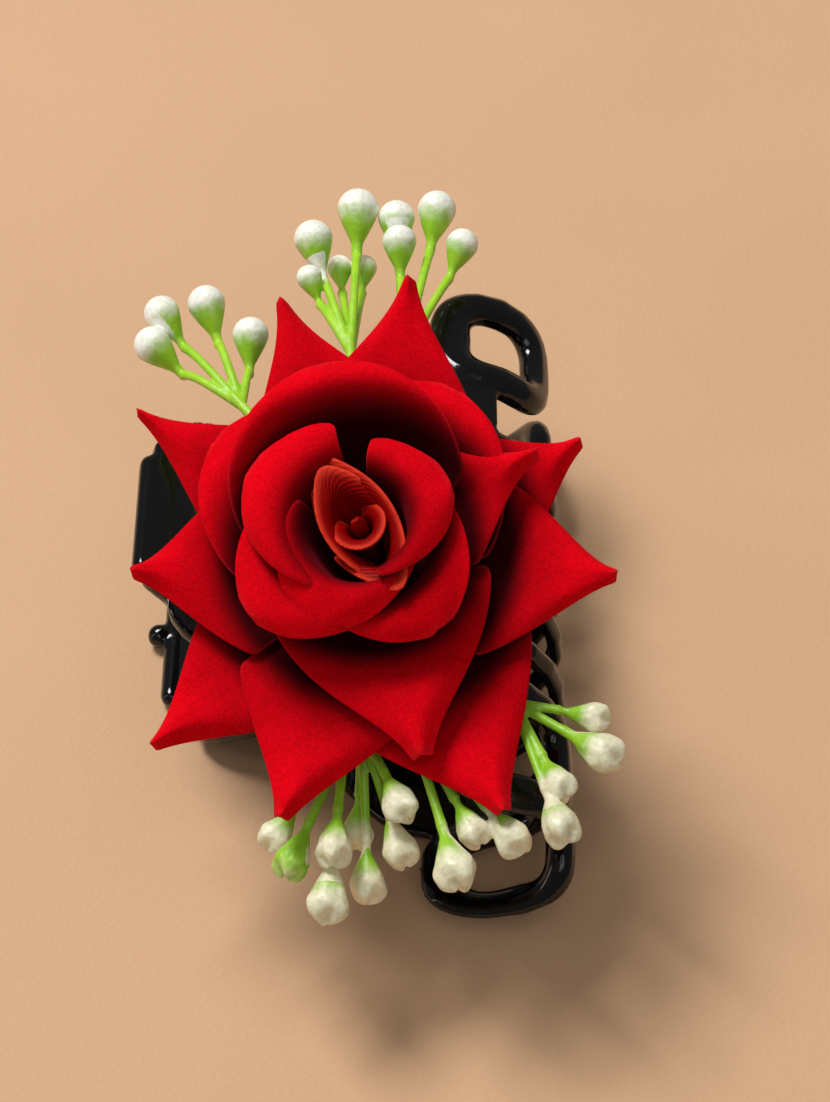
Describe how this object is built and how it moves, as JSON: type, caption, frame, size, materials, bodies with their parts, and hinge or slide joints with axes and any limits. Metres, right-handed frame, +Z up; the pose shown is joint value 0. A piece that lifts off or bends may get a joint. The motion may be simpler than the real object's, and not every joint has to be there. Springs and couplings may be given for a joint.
{
  "type": "hair claw clip",
  "caption": "Sprung plastic hair claw with toothed jaws, looped ends and finger levers, with a velvet rose and sprays of small buds glued on top.",
  "frame": {"origin": "the middle of the flat pad under the lower jaw, on which the closed clip lies", "axes": "+Z up out of the surface it lies on, +Y along the hinge pin, +X from the finger levers to the teeth"},
  "size_m": [0.0747, 0.1276, 0.0742],
  "materials": {
    "claw_plastic": "moulded black plastic with a high gloss",
    "steel": "bright spring wire",
    "felt": "pressed black felt",
    "glue": "set hot glue, yellowed and cloudy",
    "green_plastic": "soft green polythene",
    "velvet": "deep red flocked velvet",
    "satin": "ribbed red satin, the back of the velvet",
    "bud_plastic": "soft plastic that fades from green stems to white bud tips"
  },
  "bodies": {
    "back": {"back_jaw": "claw_plastic", "hinge_pin": "steel", "spring": "steel"},
    "front": {"front_jaw": "claw_plastic", "felt_pad": "felt", "glue_pad": "glue", "rose_cup": "green_plastic", "petal_back_left": "velvet", "petal_far_left": "velvet", "petal_low_left": "velvet", "petal_low_right": "velvet", "petal_far_right": "velvet", "petal_hidden_right": "velvet", "petal_back": "velvet", "petal_left": "velvet", "petal_front_left": "velvet", "petal_right": "velvet", "petal_curl_right": "velvet", "petal_front": "velvet", "petal_ring_left": "velvet", "petal_ring_right": "velvet", "petal_arch": "velvet", "petal_crescent_right": "velvet", "petal_crescent_left": "velvet", "petal_inner_left": "velvet", "petal_inner_right": "velvet", "petal_front_cup": "velvet", "bud_core": "satin", "bud_wrap_inner": "satin", "bud_wrap_middle": "satin", "bud_wrap_outer": "satin", "spray_back_left": "bud_plastic", "spray_back": "bud_plastic", "spray_back_right": "bud_plastic", "spray_front_left": "bud_plastic", "spray_front": "bud_plastic", "spray_front_middle": "bud_plastic", "spray_front_right": "bud_plastic"}
  },
  "joints": [
    {"name": "jaw_hinge", "type": "hinge", "parent": "back", "child": "front", "pos_m": [-0.0187, 0, 0.0185], "axis": [0, -1, 0], "range_deg": [0, 48], "stiffness_Nm_per_rad": 0.3, "springref_deg": -28.65, "deforming": ["spring"]}
  ]
}
